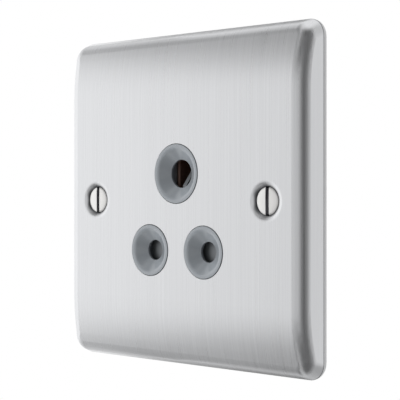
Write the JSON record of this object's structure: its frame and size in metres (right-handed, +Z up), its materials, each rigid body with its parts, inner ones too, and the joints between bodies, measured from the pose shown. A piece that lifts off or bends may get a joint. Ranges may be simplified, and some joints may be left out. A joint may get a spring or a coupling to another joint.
{
  "type": "round pin wall socket",
  "caption": "Square brushed steel wall socket with grey funnels for round pins, a sliding safety shutter, slotted fixing screws and pillar terminals in a moulded rear base.",
  "frame": {"origin": "centre of the plate on the wall plane, midway between the fixing screws, whose line lies 0.4 mm lower", "axes": "+X to the viewer's right, +Y into the wall, +Z up; the plate faces -Y"},
  "size_m": [0.086, 0.0225, 0.086],
  "materials": {
    "plate_steel": "vertically brushed",
    "gasket": "pale, soft",
    "nickel_screw": "nickel plated",
    "grey_moulding": "moulded, semi gloss",
    "shutter_moulding": "moulded",
    "base_moulding": "moulded",
    "spring_steel": "drawn wire",
    "bronze_strip": "rolled strip",
    "brass_block": "machined",
    "zinc_steel": "zinc plated"
  },
  "bodies": {
    "socket": {"front_plate": "plate_steel", "wall_gasket": "gasket", "fixing_screws": "nickel_screw", "socket_front": "grey_moulding", "shutter_spring": "spring_steel", "line_contact": "bronze_strip", "neutral_contact": "bronze_strip", "earth_contact": "bronze_strip", "line_terminal": "brass_block", "neutral_terminal": "brass_block", "earth_terminal": "brass_block", "terminal_screws": "zinc_steel", "rear_base": "base_moulding", "cover_screws": "zinc_steel", "plate_studs": "zinc_steel", "plate_washers": "zinc_steel", "plate_nuts": "zinc_steel", "earth_strap": "bronze_strip"},
    "shutter": {"safety_shutter": "shutter_moulding"}
  },
  "joints": [
    {"name": "shutter_slide", "type": "slide", "parent": "socket", "child": "shutter", "axis": [0, 0, -1], "range_m": [0, 0.00618], "stiffness_N_per_m": 120, "springref_m": -0.003, "deforming": ["shutter_spring"]}
  ]
}
